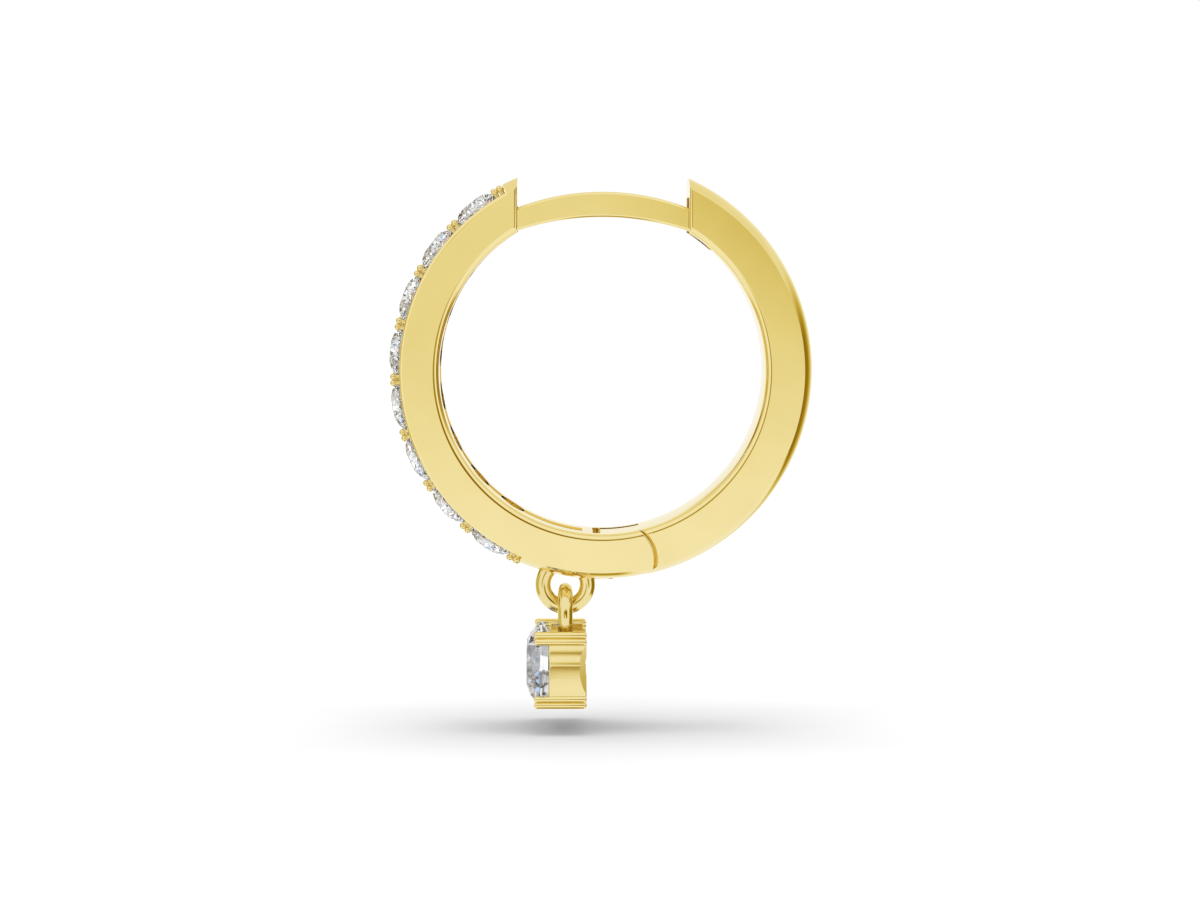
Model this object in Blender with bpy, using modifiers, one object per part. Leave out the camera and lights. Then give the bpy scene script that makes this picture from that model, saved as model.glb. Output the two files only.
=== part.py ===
"""Hoop earring with a hinged back half, eight set stones and a hanging stone drop.

Metres, +Z up. The hoop stands in the XZ plane with its axis along Y, the stones on the -X side.
The origin is the middle of the ear post, and the hoop's centre lies below it.
"""
import math

import bmesh
import bpy
from mathutils import Matrix, Vector

MM = 0.001

# Clearances in millimetres
SET_GAP = 0.03
RUNNING_GAP = 0.04
SLOT_GAP = 0.05

# Hoop band: radii about the hoop's axis, widths along Y
HOOP_DROP = 5.29
BAND_WIDTH = 1.90
INNER_RADIUS = 5.17
FACE_INNER_RADIUS = 5.36
FACE_OUTER_RADIUS = 6.40
CROWN_RADIUS = 6.72
FRONT_END_X = -2.69
BACK_END_X = 2.74
DEGREES_PER_STEP = 5.0
BEYOND = 9.0

# Setting deck with its stones and beads
DECK_RADIUS = 6.42
DECK_CHAMFER = 0.10
STONE_COUNT = 8
FIRST_JUNCTION = 120.2
JUNCTION_PITCH = 15.525
DECK_MARGIN = 2.0
STONE_DIAMETER = 1.60
GIRDLE_RADIUS = 6.50
SEAT_HOLE_RADIUS = 0.45
BEAD_RADIUS = 0.11
BEAD_TOP = 6.73
BEAD_ROOT = 6.25
BEAD_SPLIT = 0.10
BEAD_SIDE = 0.55

# Hinge, in a frame with t along the hoop and n towards its centre
PIN_X = 0.553
PIN_BELOW = 5.945
PIN_RADIUS = 0.25
PIN_HALF_LENGTH = 0.78
SEAM_RADIUS = 1.14
TONGUE_HALF_WIDTH = 0.50
TONGUE_RADIUS = 0.65
TONGUE_CORNER = 0.12
TONGUE_ROOT = 1.42
NECK_LOW = -0.35
SLOT_RADIUS = 0.78
SLOT_LOW_ANGLE = 251.0
SLOT_LENGTH = 2.0
SLOT_DEPTH = 1.4

# Notch in the back half's end for the post's tip, groove inside the front half
NOTCH_HALF_WIDTH = 0.53
NOTCH_RADIUS = 6.15
NOTCH_START = 48.0
GROOVE_HALF_WIDTH = 0.30
GROOVE_RADIUS = 5.36
GROOVE_START = 121.5
GROOVE_END = 263.0

# Ear post: two arcs across the top of the hoop
POST_TOP = 5.69
POST_BOTTOM = 4.89
POST_TOP_ARC = 7.48
POST_BOTTOM_ARC = 8.57
POST_LEFT = -3.10
POST_RIGHT = 3.55
POST_HALF_WIDTH = 0.45
POST_EDGE = 0.09

# Bail ring under the hoop
BAIL_X = -1.18
BAIL_BELOW = 6.908
BAIL_OUTER = 0.962
BAIL_INNER = 0.465

# Link between bail and drop
LINK_WIRE = 0.48
LINK_INNER = 0.48

# Drop: one stone facing -X in a lobed basket
DROP_BELOW = 9.47
DROP_STONE_DIAMETER = 2.72
GIRDLE_X = -1.955
BASKET_FRONT = -1.712
BASKET_BACK = -0.504
LOBE_OFFSET = 0.594
LOBE_RADIUS = 0.84
BASKET_BORE = 0.70
BASKET_EDGE = 0.07
WINDOW_FRONT = -1.61
WINDOW_BACK = -0.63
WINDOW_CLEARANCE = 0.06
LUG_HALF_WIDTH = 0.14
LUG_ROOT = 1.00
BAR_RADIUS = 0.085
PRONG_FRONT = -2.165
PRONG_BACK = -0.525
PRONG_RADIUS = 0.115
PRONG_SIDE = 1.08
PRONG_HEIGHT = 1.02
PRONG_SPLIT = 0.105
PRONG_LEAN = 15.0

# Cut of a round brilliant, as parts of its diameter
TABLE_PART = 0.57
CROWN_PART = 0.155
GIRDLE_PART = 0.03
PAVILION_PART = 0.41
STAR_PART = 0.50
LOWER_HALF_PART = 0.77
MAIN_FACETS = 8

GOLD = (0.90, 0.68, 0.30, 1.0)
WHITE = (0.95, 0.96, 0.98, 1.0)


def clear_scene():
    for item in list(bpy.data.objects):
        bpy.data.objects.remove(item, do_unlink=True)


def make_collection(name):
    collection = bpy.data.collections.new(name)
    bpy.context.scene.collection.children.link(collection)
    return collection


def make_material(name, colour, roughness, metallic):
    material = bpy.data.materials.new(name)
    material.use_nodes = True
    shader = material.node_tree.nodes["Principled BSDF"]
    shader.inputs["Base Color"].default_value = colour
    shader.inputs["Roughness"].default_value = roughness
    shader.inputs["Metallic"].default_value = metallic
    material.diffuse_color = colour
    return material


def gold_material(name):
    return make_material(name + "_gold", GOLD, 0.12, 1.0)


def stone_material(name):
    return make_material(name + "_stone", WHITE, 0.02, 0.0)


def add_object(name, mesh, collection, material=None):
    item = bpy.data.objects.new(name, mesh)
    collection.objects.link(item)
    if material:
        mesh.materials.clear()
        mesh.materials.append(material)
    return item


def as_cutter(item):
    item.hide_render = True
    item.display_type = "WIRE"
    return item


def bmesh_to_mesh(bm, name):
    """Turn a bmesh drawn in millimetres into a mesh in metres with its faces pointing out."""
    bmesh.ops.scale(bm, vec=(MM, MM, MM), verts=bm.verts)
    bmesh.ops.recalc_face_normals(bm, faces=bm.faces)
    mesh = bpy.data.meshes.new(name)
    bm.to_mesh(mesh)
    bm.free()
    return mesh


def arc(centre, radius, start, end, steps):
    """Points of an arc in a plane, angles in degrees."""
    points = []
    for step in range(steps + 1):
        angle = math.radians(start + (end - start) * step / steps)
        points.append((centre[0] + radius * math.cos(angle), centre[1] + radius * math.sin(angle)))
    return points


def swept_band(name, section, start, end, collection, material=None):
    """Sweep a closed section of (radius, y) points round the hoop's axis between two angles."""
    bm = bmesh.new()
    lean = math.radians(start)
    verts = []
    for radius, side in section:
        verts.append(bm.verts.new((radius * math.cos(lean), side, radius * math.sin(lean))))
    face = bm.faces.new(verts)
    steps = max(2, round((end - start) / DEGREES_PER_STEP))
    bmesh.ops.spin(bm, geom=[face], cent=(0, 0, 0), axis=(0, -1, 0), angle=math.radians(end - start),
                   steps=steps, use_duplicate=False)
    bmesh.ops.translate(bm, vec=(0, 0, -HOOP_DROP), verts=bm.verts)
    item = add_object(name, bmesh_to_mesh(bm, name), collection, material)
    return item


def turned(name, profile, location, rotation, sides, collection, material=None):
    """Turn a profile of (radius, height) points in millimetres about its own Z axis."""
    mesh = bpy.data.meshes.new(name)
    verts = [(radius * MM, 0.0, height * MM) for radius, height in profile]
    edges = [(index, index + 1) for index in range(len(verts) - 1)]
    if profile[0][0] > 0:
        edges.append((len(verts) - 1, 0))
    mesh.from_pydata(verts, edges, [])
    item = add_object(name, mesh, collection, material)
    item.location = Vector(location) * MM
    item.rotation_euler = rotation
    screw = item.modifiers.new("Turn", "SCREW")
    screw.steps = sides
    screw.render_steps = sides
    screw.use_merge_vertices = True
    screw.merge_threshold = 1e-7
    return item


def mesh_from_curve(item, collection):
    """Replace a curve object by a welded mesh at the same place."""
    graph = bpy.context.evaluated_depsgraph_get()
    graph.update()
    mesh = bpy.data.meshes.new_from_object(item.evaluated_get(graph))
    mesh.name = item.name
    bm = bmesh.new()
    bm.from_mesh(mesh)
    bmesh.ops.remove_doubles(bm, verts=bm.verts, dist=1e-7)
    bm.to_mesh(mesh)
    bm.free()
    name = item.name
    place = item.matrix_world.copy()
    bpy.data.objects.remove(item, do_unlink=True)
    solid = bpy.data.objects.new(name, mesh)
    collection.objects.link(solid)
    solid.matrix_world = place
    return solid


def plate(name, outline, along, start, end, collection, material=None):
    """Extrude a flat outline along X or Y, from start to end, all in millimetres.

    For Y the outline holds (x, z) from the hoop's centre, and for X it holds (y, z) from the drop's axis.
    """
    data = bpy.data.curves.new(name, "CURVE")
    data.dimensions = "2D"
    data.fill_mode = "BOTH"
    data.extrude = abs(end - start) / 2 * MM
    spline = data.splines.new("POLY")
    spline.points.add(len(outline) - 1)
    for point, (across, up) in zip(spline.points, outline):
        point.co = (across * MM, up * MM, 0, 1)
    spline.use_cyclic_u = True
    item = bpy.data.objects.new(name, data)
    collection.objects.link(item)
    middle = (start + end) / 2 * MM
    if along == "Y":
        item.rotation_euler = (math.pi / 2, 0, 0)
        item.location = (0, middle, -HOOP_DROP * MM)
    else:
        item.rotation_euler = (math.pi / 2, 0, math.pi / 2)
        item.location = (middle, 0, -(HOOP_DROP + DROP_BELOW) * MM)
    bpy.context.view_layer.update()
    solid = mesh_from_curve(item, collection)
    if material:
        solid.data.materials.clear()
        solid.data.materials.append(material)
    return solid


def rod(name, radius, start, end, sides, collection, cap=0.0):
    """A round rod between two points in millimetres, with its start end rounded by cap."""
    start = Vector(start)
    end = Vector(end)
    length = (end - start).length
    profile = [(0, length), (radius, length)]
    if cap:
        profile += [(radius, cap), (radius * 0.72, cap * 0.28), (radius * 0.38, 0)]
    else:
        profile.append((radius, 0))
    profile.append((0, 0))
    turn = (end - start).to_track_quat("Z", "Y").to_euler()
    return turned(name, profile, start, turn, sides, collection)


def boolean(item, operation, other):
    modifier = item.modifiers.new(other.name, "BOOLEAN")
    modifier.operation = operation
    modifier.solver = "EXACT"
    if isinstance(other, bpy.types.Collection):
        modifier.operand_type = "COLLECTION"
        modifier.collection = other
    else:
        modifier.object = other


def smooth(item):
    item.data.shade_smooth()
    item.data.set_sharp_from_angle(angle=math.radians(35))


def pin_frame(points):
    """From the hinge's (t, n) frame to (x, z) from the hoop's centre."""
    lean = math.atan2(PIN_X, PIN_BELOW)
    placed = []
    for along, inward in points:
        across = PIN_X + along * math.cos(lean) - inward * math.sin(lean)
        up = -PIN_BELOW + along * math.sin(lean) + inward * math.cos(lean)
        placed.append((across, up))
    return placed


def band_section():
    """Section of the plain band: rounded inner edges, flat faces and a domed outside."""
    half = BAND_WIDTH / 2
    rise = CROWN_RADIUS - FACE_OUTER_RADIUS
    dome = (half * half + rise * rise) / (2 * rise)
    spread = math.degrees(math.asin(half / dome))
    fillet = FACE_INNER_RADIUS - INNER_RADIUS
    section = [(INNER_RADIUS, half - fillet), (INNER_RADIUS + fillet * 0.3, half - fillet * 0.3)]
    section.append((FACE_INNER_RADIUS, half))
    section += arc((CROWN_RADIUS - dome, 0), dome, spread, -spread, 8)
    section.append((FACE_INNER_RADIUS, -half))
    section.append((INNER_RADIUS + fillet * 0.3, -half + fillet * 0.3))
    section.append((INNER_RADIUS, -half + fillet))
    return section


def brilliant_mesh(name, diameter, material):
    """Round brilliant with its table facing local +Z and its girdle's middle at the origin."""
    half_girdle = GIRDLE_PART / 2
    half_step = math.pi / MAIN_FACETS
    rim = 0.5
    table = TABLE_PART / 2
    star = table * math.cos(half_step)
    star += STAR_PART * (rim - star)
    star_height = CROWN_PART * (rim - star * math.cos(half_step)) / (rim - table)
    lower = rim * (1 - LOWER_HALF_PART)
    lower_height = PAVILION_PART * (1 - lower * math.cos(half_step) / rim)
    bm = bmesh.new()
    for step in range(MAIN_FACETS * 2):
        angle = step * half_step
        rings = [(rim, half_girdle), (rim, -half_girdle)]
        if step % 2 == 0:
            rings.append((table, half_girdle + CROWN_PART))
        else:
            rings.append((star, half_girdle + star_height))
            rings.append((lower, -half_girdle - lower_height))
        for radius, height in rings:
            bm.verts.new((radius * math.cos(angle), radius * math.sin(angle), height))
    bm.verts.new((0, 0, -half_girdle - PAVILION_PART))
    bmesh.ops.convex_hull(bm, input=bm.verts)
    bmesh.ops.scale(bm, vec=(diameter, diameter, diameter), verts=bm.verts)
    mesh = bmesh_to_mesh(bm, name)
    mesh.materials.append(material)
    return mesh


def seat_profile(diameter, hole, top, bottom):
    """Profile of the space that a stone of this diameter needs, from its front to its drilled back.

    Heights run from the girdle's middle, and top and bottom say how far the cut goes each way.
    """
    radius = diameter / 2
    half_girdle = GIRDLE_PART * diameter / 2 + SET_GAP
    slope = radius / (PAVILION_PART * diameter)
    widest = radius + SET_GAP
    meets = -half_girdle - (widest - hole) / slope
    return [(0, top), (widest, top), (widest, -half_girdle), (hole, meets), (hole, bottom), (0, bottom)]


def hoop_direction(degrees):
    angle = math.radians(degrees)
    return Vector((math.cos(angle), 0, math.sin(angle)))


def stone_angles():
    return [FIRST_JUNCTION + JUNCTION_PITCH * (index + 0.5) for index in range(STONE_COUNT)]


def outward_rotation(degrees):
    """Turn that takes local Z outwards from the hoop's axis at this angle."""
    return (0, math.radians(90 - degrees), 0)


def make_bail(cutters):
    """Round ring in the XZ plane, partly sunk into the hoop's underside."""
    middle = (BAIL_OUTER + BAIL_INNER) / 2
    profile = arc((middle, 0), (BAIL_OUTER - BAIL_INNER) / 2, 360, 0, 12)[:-1]
    place = (BAIL_X, 0, -HOOP_DROP - BAIL_BELOW)
    return as_cutter(turned("bail_ring", profile, place, (math.pi / 2, 0, 0), 28, cutters))


def make_beads(cutters):
    """Four small round posts at each junction between stones and at both ends."""
    beads = bpy.data.collections.new("beads")
    cutters.children.link(beads)
    for junction in range(STONE_COUNT + 1):
        degrees = FIRST_JUNCTION + JUNCTION_PITCH * junction
        outward = hoop_direction(degrees)
        tangent = Vector((-outward.z, 0, outward.x))
        for along in (-BEAD_SPLIT, BEAD_SPLIT):
            for side in (-BEAD_SIDE, BEAD_SIDE):
                foot = Vector((0, side, -HOOP_DROP)) + tangent * along
                top = foot + outward * BEAD_TOP
                root = foot + outward * BEAD_ROOT
                name = "bead_%d_%+d_%+d" % (junction, along * 100, side * 100)
                as_cutter(rod(name, BEAD_RADIUS, top, root, 8, beads, cap=BEAD_RADIUS * 0.8))
    return beads


def make_seats(cutters):
    """Cone and drilled hole under each stone of the hoop."""
    seats = bpy.data.collections.new("seats")
    cutters.children.link(seats)
    profile = seat_profile(STONE_DIAMETER, SEAT_HOLE_RADIUS, 0.1, INNER_RADIUS - GIRDLE_RADIUS - 0.4)
    for index, degrees in enumerate(stone_angles()):
        place = Vector((0, 0, -HOOP_DROP)) + hoop_direction(degrees) * GIRDLE_RADIUS
        name = "seat_%d" % (index + 1)
        as_cutter(turned(name, profile, place, outward_rotation(degrees), 20, seats))
    return seats


def make_front_half(parts, cutters):
    material = gold_material("front_half")
    hoop = swept_band("front_half", band_section(), 110.0, 292.0, parts, material)

    half = BAND_WIDTH / 2
    far = CROWN_RADIUS + 0.6
    deck_section = [(DECK_RADIUS, half - DECK_CHAMFER), (DECK_RADIUS - DECK_CHAMFER * 2, half + DECK_CHAMFER)]
    deck_section += [(far, half + DECK_CHAMFER), (far, -half - DECK_CHAMFER)]
    deck_section += [(DECK_RADIUS - DECK_CHAMFER * 2, -half - DECK_CHAMFER)]
    deck_section += [(DECK_RADIUS, -half + DECK_CHAMFER)]
    deck_end = FIRST_JUNCTION + JUNCTION_PITCH * STONE_COUNT + DECK_MARGIN
    deck = as_cutter(swept_band("deck_cut", deck_section, FIRST_JUNCTION - DECK_MARGIN, deck_end, cutters))

    groove_section = [(INNER_RADIUS - 0.5, -GROOVE_HALF_WIDTH), (INNER_RADIUS - 0.5, GROOVE_HALF_WIDTH)]
    groove_section += [(GROOVE_RADIUS, GROOVE_HALF_WIDTH), (GROOVE_RADIUS, -GROOVE_HALF_WIDTH)]
    groove = as_cutter(swept_band("groove_cut", groove_section, GROOVE_START, GROOVE_END, cutters))

    seam = SEAM_RADIUS - SLOT_GAP
    nose = pin_frame(arc((0, 0), seam, -90, 90, 14))
    outline = nose + [(FRONT_END_X, 0), (FRONT_END_X, BEYOND), (BEYOND, BEYOND), (BEYOND, -BEYOND)]
    outline += [(nose[0][0], -BEYOND)]
    end_cut = as_cutter(plate("front_end_cut", outline, "Y", -BEYOND / 4, BEYOND / 4, cutters))

    slot_outline = [(-SLOT_RADIUS, 1.2)] + arc((0, 0), SLOT_RADIUS, 180, SLOT_LOW_ANGLE, 6)
    slot_outline += [(slot_outline[-1][0], -SLOT_DEPTH), (SLOT_LENGTH, -SLOT_DEPTH), (SLOT_LENGTH, 1.2)]
    slot_half = TONGUE_HALF_WIDTH + SLOT_GAP
    slot = as_cutter(plate("slot_cut", pin_frame(slot_outline), "Y", -slot_half, slot_half, cutters))

    pin_hole = make_pin_hole("front_pin_hole", cutters)

    post_left = POST_LEFT - RUNNING_GAP
    post_right = FRONT_END_X + 1.0
    socket_outline = post_arc(POST_TOP + RUNNING_GAP, POST_TOP_ARC + RUNNING_GAP, post_left, post_right, 8)
    socket_outline += [(post_right, POST_BOTTOM - 1.5), (post_left, POST_BOTTOM - 1.5)]
    socket_half = POST_HALF_WIDTH + RUNNING_GAP
    socket = as_cutter(plate("socket_cut", socket_outline, "Y", -socket_half, socket_half, cutters))

    boolean(hoop, "DIFFERENCE", deck)
    boolean(hoop, "DIFFERENCE", groove)
    boolean(hoop, "DIFFERENCE", end_cut)
    boolean(hoop, "UNION", make_bail(cutters))
    boolean(hoop, "UNION", make_beads(cutters))
    boolean(hoop, "DIFFERENCE", make_seats(cutters))
    boolean(hoop, "DIFFERENCE", slot)
    boolean(hoop, "DIFFERENCE", pin_hole)
    boolean(hoop, "DIFFERENCE", socket)
    smooth(hoop)
    return hoop


def make_pin_hole(name, cutters):
    reach = PIN_HALF_LENGTH + RUNNING_GAP
    low = (PIN_X, -reach, -HOOP_DROP - PIN_BELOW)
    high = (PIN_X, reach, -HOOP_DROP - PIN_BELOW)
    return as_cutter(rod(name, PIN_RADIUS + RUNNING_GAP, low, high, 20, cutters))


def make_back_half(parts, cutters, hinge):
    """Plain domed half with a notch for the post's tip and a tongue round the hinge pin."""
    material = gold_material("back_half")
    hoop = swept_band("back_half", band_section(), -92.0, 73.0, parts, material)

    seam = SEAM_RADIUS + SLOT_GAP
    hollow = pin_frame(arc((0, 0), seam, 90, -90, 14))
    outline = hollow + [(hollow[-1][0], -BEYOND), (-BEYOND, -BEYOND), (-BEYOND, BEYOND)]
    outline += [(BACK_END_X, BEYOND), (BACK_END_X, 0)]
    end_cut = as_cutter(plate("back_end_cut", outline, "Y", -BEYOND / 4, BEYOND / 4, cutters))

    side = NOTCH_HALF_WIDTH
    notch_section = [(INNER_RADIUS - 0.5, -side), (INNER_RADIUS - 0.5, side)]
    notch_section += [(NOTCH_RADIUS, side), (NOTCH_RADIUS, -side)]
    notch = as_cutter(swept_band("notch_cut", notch_section, NOTCH_START, 76.0, cutters))

    hinge_angle = math.degrees(math.atan2(-PIN_BELOW, PIN_X))
    hinge_radius = math.hypot(PIN_X, PIN_BELOW)
    top_radius = INNER_RADIUS + 0.02
    root_lean = math.degrees(math.asin(TONGUE_ROOT / top_radius))
    tip_lean = math.degrees(math.asin((TONGUE_RADIUS - TONGUE_CORNER) / top_radius))
    tongue = arc((0, 0), top_radius, hinge_angle + root_lean, hinge_angle - tip_lean, 8)
    top_inward = hinge_radius - top_radius
    corner = (TONGUE_CORNER - TONGUE_RADIUS, top_inward - TONGUE_CORNER)
    rest = arc(corner, TONGUE_CORNER, 120, 180, 2)
    neck_angle = math.degrees(math.asin(NECK_LOW / TONGUE_RADIUS))
    rest += arc((0, 0), TONGUE_RADIUS, 180, 360 + neck_angle, 12)
    rest += [(TONGUE_ROOT, NECK_LOW)]
    tongue += pin_frame(rest)
    knuckle = as_cutter(plate("tongue", tongue, "Y", -TONGUE_HALF_WIDTH, TONGUE_HALF_WIDTH, cutters))

    boolean(hoop, "DIFFERENCE", end_cut)
    boolean(hoop, "DIFFERENCE", notch)
    boolean(hoop, "UNION", knuckle)
    boolean(hoop, "DIFFERENCE", make_pin_hole("back_pin_hole", cutters))
    hoop.data.transform(Matrix.Translation(-hinge.location))
    hoop.parent = hinge
    smooth(hoop)
    return hoop


def post_arc(top, radius, left, right, steps):
    """Points of an arc over the hoop's centre, from left to right."""
    points = []
    for step in range(steps + 1):
        across = left + (right - left) * step / steps
        points.append((across, top - radius + math.sqrt(radius * radius - across * across)))
    return points


def make_ear_post(parts):
    """Flat curved bar that goes through the ear, let into the front half and free in the back half."""
    outline = post_arc(POST_TOP, POST_TOP_ARC, POST_LEFT, POST_RIGHT, 18)
    outline += reversed(post_arc(POST_BOTTOM, POST_BOTTOM_ARC, POST_LEFT, POST_RIGHT, 18))
    material = gold_material("ear_post")
    post = plate("ear_post", outline, "Y", -POST_HALF_WIDTH, POST_HALF_WIDTH, parts, material)
    bevel = post.modifiers.new("Edges", "BEVEL")
    bevel.width = POST_EDGE * MM
    bevel.segments = 2
    bevel.limit_method = "ANGLE"
    bevel.angle_limit = math.radians(50)
    smooth(post)
    return post


def make_hinge_pin(parts):
    low = (PIN_X, -PIN_HALF_LENGTH, -HOOP_DROP - PIN_BELOW)
    high = (PIN_X, PIN_HALF_LENGTH, -HOOP_DROP - PIN_BELOW)
    pin = rod("hinge_pin", PIN_RADIUS, low, high, 16, parts)
    pin.data.materials.append(gold_material("hinge_pin"))
    return pin


def make_hoop_stones(parts):
    material = stone_material("hoop")
    mesh = brilliant_mesh("hoop_stone", STONE_DIAMETER, material)
    for index, degrees in enumerate(stone_angles()):
        stone = add_object("hoop_stone_%d" % (index + 1), mesh, parts)
        stone.location = (Vector((0, 0, -HOOP_DROP)) + hoop_direction(degrees) * GIRDLE_RADIUS) * MM
        stone.rotation_euler = outward_rotation(degrees)


def make_link(parts, swing):
    """Round ring in the YZ plane, hanging on the bail's lower wire."""
    middle = LINK_INNER + LINK_WIRE / 2
    bpy.ops.mesh.primitive_torus_add(major_radius=middle * MM, minor_radius=LINK_WIRE / 2 * MM,
                                     major_segments=28, minor_segments=10,
                                     location=(0, 0, 0), rotation=(0, math.pi / 2, 0))
    link = bpy.context.active_object
    link.name = "link"
    link.data.name = "link"
    for collection in list(link.users_collection):
        collection.objects.unlink(link)
    parts.objects.link(link)
    link.data.materials.append(gold_material("link"))
    link.location = (Vector((BAIL_X, 0, link_height())) * MM) - swing.location
    link.parent = swing
    smooth(link)
    return link


def link_height():
    """Height of the link's centre, with its top wire just above the bail's lower wire."""
    return -HOOP_DROP - BAIL_BELOW - BAIL_INNER + SET_GAP - LINK_INNER


def basket_outline():
    """Four lobes on the diagonals that meet in creases at the top, the bottom and both sides."""
    offset = LOBE_OFFSET / math.sqrt(2)
    meets = math.degrees(math.asin(offset / LOBE_RADIUS))
    outline = []
    for quarter in range(4):
        turn = 90 * quarter
        middle = math.radians(45 + turn)
        centre = (LOBE_OFFSET * math.cos(middle), LOBE_OFFSET * math.sin(middle))
        outline += arc(centre, LOBE_RADIUS, turn - meets, turn + 90 + meets, 10)[:-1]
    return outline


def make_drop_basket(parts, cutters, swing):
    material = gold_material("drop_basket")
    basket = plate("drop_basket", basket_outline(), "X", BASKET_FRONT, BASKET_BACK, parts, material)
    bevel = basket.modifiers.new("Edges", "BEVEL")
    bevel.width = BASKET_EDGE * MM
    bevel.segments = 2
    bevel.limit_method = "ANGLE"
    bevel.angle_limit = math.radians(60)

    axis_height = -HOOP_DROP - DROP_BELOW
    bar_bottom = link_height() - LINK_INNER + SET_GAP
    bar_height = bar_bottom + BAR_RADIUS
    lug_top = bar_height + BAR_RADIUS - axis_height
    lug_outline = [(-LUG_HALF_WIDTH, LUG_ROOT), (LUG_HALF_WIDTH, LUG_ROOT)]
    lug_outline += arc((0, lug_top - LUG_HALF_WIDTH), LUG_HALF_WIDTH, 0, 180, 6)
    lug = as_cutter(plate("lug", lug_outline, "X", BASKET_FRONT, BASKET_BACK, cutters))

    window_radius = LINK_INNER + LINK_WIRE + WINDOW_CLEARANCE
    window = as_cutter(rod("window_cut", window_radius, (WINDOW_FRONT, 0, link_height()),
                           (WINDOW_BACK, 0, link_height()), 36, cutters))
    bar = as_cutter(rod("bar", BAR_RADIUS, ((BASKET_FRONT + WINDOW_FRONT) / 2, 0, bar_height),
                        ((BASKET_BACK + WINDOW_BACK) / 2, 0, bar_height), 12, cutters))

    prongs = bpy.data.collections.new("prongs")
    cutters.children.link(prongs)
    lean = math.radians(PRONG_LEAN)
    for side in (-1, 1):
        for level in (-1, 1):
            for split in (-1, 1):
                across = side * (PRONG_SIDE - split * PRONG_SPLIT * math.sin(lean))
                up = axis_height + level * (PRONG_HEIGHT + split * PRONG_SPLIT * math.cos(lean))
                name = "prong_%+d_%+d_%+d" % (side, level, split)
                as_cutter(rod(name, PRONG_RADIUS, (PRONG_FRONT, across, up), (PRONG_BACK, across, up),
                              12, prongs, cap=PRONG_RADIUS * 0.7))

    forward = (0, -math.pi / 2, 0)
    place = (GIRDLE_X, 0, axis_height)
    profile = seat_profile(DROP_STONE_DIAMETER, BASKET_BORE, 1.0, GIRDLE_X - BASKET_BACK - 0.3)
    bore = as_cutter(turned("bore_cut", profile, place, forward, 36, cutters))

    boolean(basket, "UNION", lug)
    boolean(basket, "DIFFERENCE", window)
    boolean(basket, "UNION", bar)
    boolean(basket, "UNION", prongs)
    boolean(basket, "DIFFERENCE", bore)
    basket.location = basket.location - swing.location
    basket.parent = swing
    smooth(basket)
    return basket


def make_drop_stone(parts, swing):
    mesh = brilliant_mesh("drop_stone", DROP_STONE_DIAMETER, stone_material("drop"))
    stone = add_object("drop_stone", mesh, parts)
    stone.location = Vector((GIRDLE_X, 0, -HOOP_DROP - DROP_BELOW)) * MM - swing.location
    stone.rotation_euler = (0, -math.pi / 2, 0)
    stone.parent = swing
    return stone


def make_pivot(name, place, collection):
    pivot = bpy.data.objects.new(name, None)
    collection.objects.link(pivot)
    pivot.location = Vector(place) * MM
    pivot.empty_display_size = MM
    return pivot


def main():
    clear_scene()
    parts = make_collection("hoop_charm_earring")
    cutters = make_collection("cutters")
    hinge = make_pivot("back_hinge_pivot", (PIN_X, 0, -HOOP_DROP - PIN_BELOW), parts)
    bail_wire = BAIL_BELOW + (BAIL_OUTER + BAIL_INNER) / 2
    link_pivot = make_pivot("link_pivot", (BAIL_X, 0, -HOOP_DROP - bail_wire), parts)
    link_wire = link_height() - LINK_INNER - LINK_WIRE / 2
    drop_pivot = make_pivot("drop_pivot", (BAIL_X, 0, link_wire), parts)
    make_front_half(parts, cutters)
    make_ear_post(parts)
    make_back_half(parts, cutters, hinge)
    make_hinge_pin(parts)
    make_hoop_stones(parts)
    make_link(parts, link_pivot)
    make_drop_basket(parts, cutters, drop_pivot)
    make_drop_stone(parts, drop_pivot)
    bpy.context.view_layer.update()


main()
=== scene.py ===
import math

import bmesh
import bpy
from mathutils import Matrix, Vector


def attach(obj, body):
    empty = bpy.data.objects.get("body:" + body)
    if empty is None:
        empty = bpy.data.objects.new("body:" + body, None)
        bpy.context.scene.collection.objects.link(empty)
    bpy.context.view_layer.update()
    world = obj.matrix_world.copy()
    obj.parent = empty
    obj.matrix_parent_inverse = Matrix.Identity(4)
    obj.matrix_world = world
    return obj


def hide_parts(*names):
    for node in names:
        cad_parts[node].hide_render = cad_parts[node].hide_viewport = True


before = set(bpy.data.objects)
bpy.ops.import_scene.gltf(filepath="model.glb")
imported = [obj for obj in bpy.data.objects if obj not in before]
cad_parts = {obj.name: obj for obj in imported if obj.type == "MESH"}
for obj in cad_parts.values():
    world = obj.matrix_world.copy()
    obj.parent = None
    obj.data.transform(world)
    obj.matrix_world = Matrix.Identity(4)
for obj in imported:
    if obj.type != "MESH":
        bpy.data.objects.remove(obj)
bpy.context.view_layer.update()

mm = 0.001
ringHeight = -5.29       # the hoop's centre, mm under the middle of the post
dropHeight = -14.76      # the drop's axis
linkHeight = -13.113     # the link's centre

cameraPlace = {
    "at": (-1.2707, -62.8718, -0.599),     # mm
    "turn": (math.pi / 2 - 0.0541, 0, -0.009),      # radians
    "focalPixels": 1970,
    "imageWidth": 1200,
    "sensor": 36,
    "shift": (20 / 1200, -120 / 1200),     # part of the photo's tilt, since its uprights stay parallel
    "clip": (0.002, 10),                   # metres
}


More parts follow.
